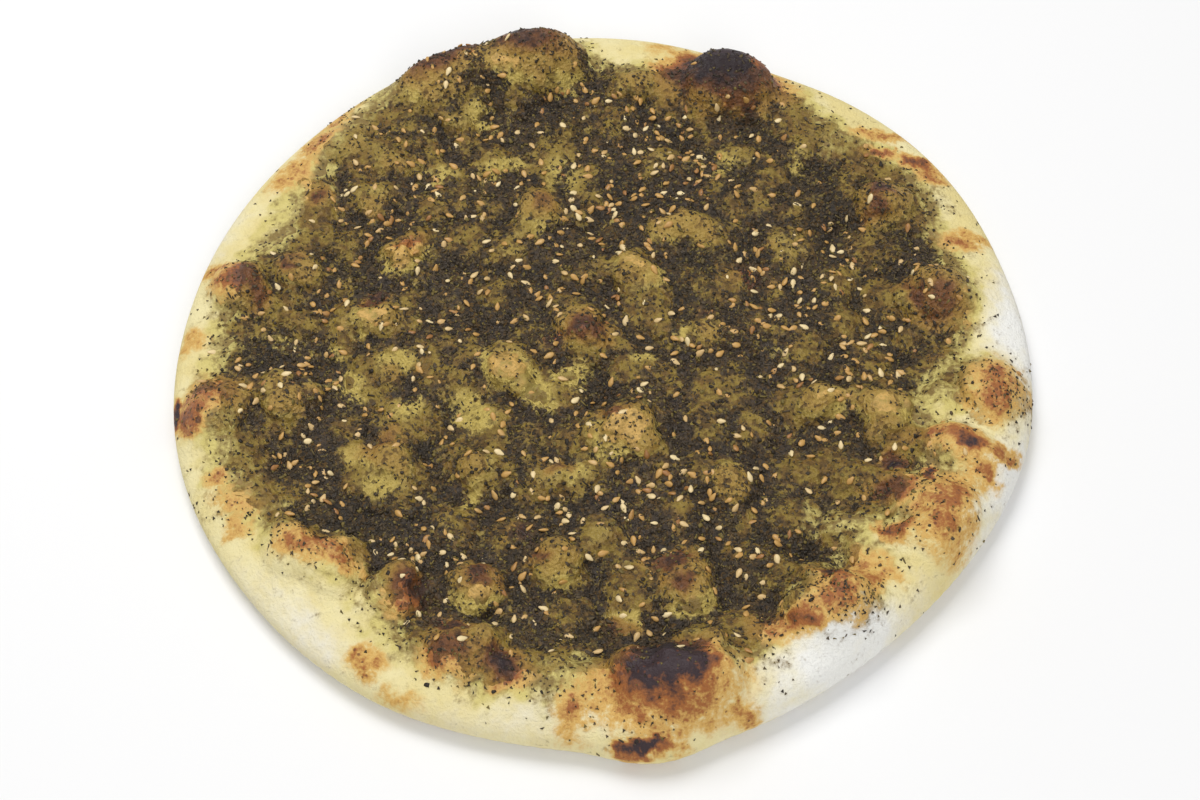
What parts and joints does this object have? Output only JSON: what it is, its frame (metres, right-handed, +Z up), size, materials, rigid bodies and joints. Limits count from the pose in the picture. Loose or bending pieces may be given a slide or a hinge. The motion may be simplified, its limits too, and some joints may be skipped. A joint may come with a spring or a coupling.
{
  "type": "zaatar flatbread",
  "caption": "Round blistered flatbread with a pale raised rim under a baked-on crust of thyme, sumac, oil and sesame, lying flat on its underside.",
  "frame": {"origin": "the middle of the flat underside, under the middle of the outline", "axes": "+Z up out of the topping, +Y to the far side with the tallest blisters, +X to the right as seen from the near side"},
  "size_m": [0.2385, 0.2408, 0.0244],
  "materials": {
    "baked_dough": "matt floury crust, cream to yellow-green where the oil has soaked in, toasted orange-brown and charred on the blisters",
    "zaatar_crust": "rough dark grey-green paste of thyme, sumac and oil with a faint oily sheen",
    "sesame_seed": "satin hulled seed, cream to toasted tan",
    "herb_flake": "dry crumbled leaf, dark brown to olive"
  },
  "bodies": {
    "root": {"bread": "baked_dough", "zaatar_topping": "zaatar_crust"}
  },
  "joints": []
}
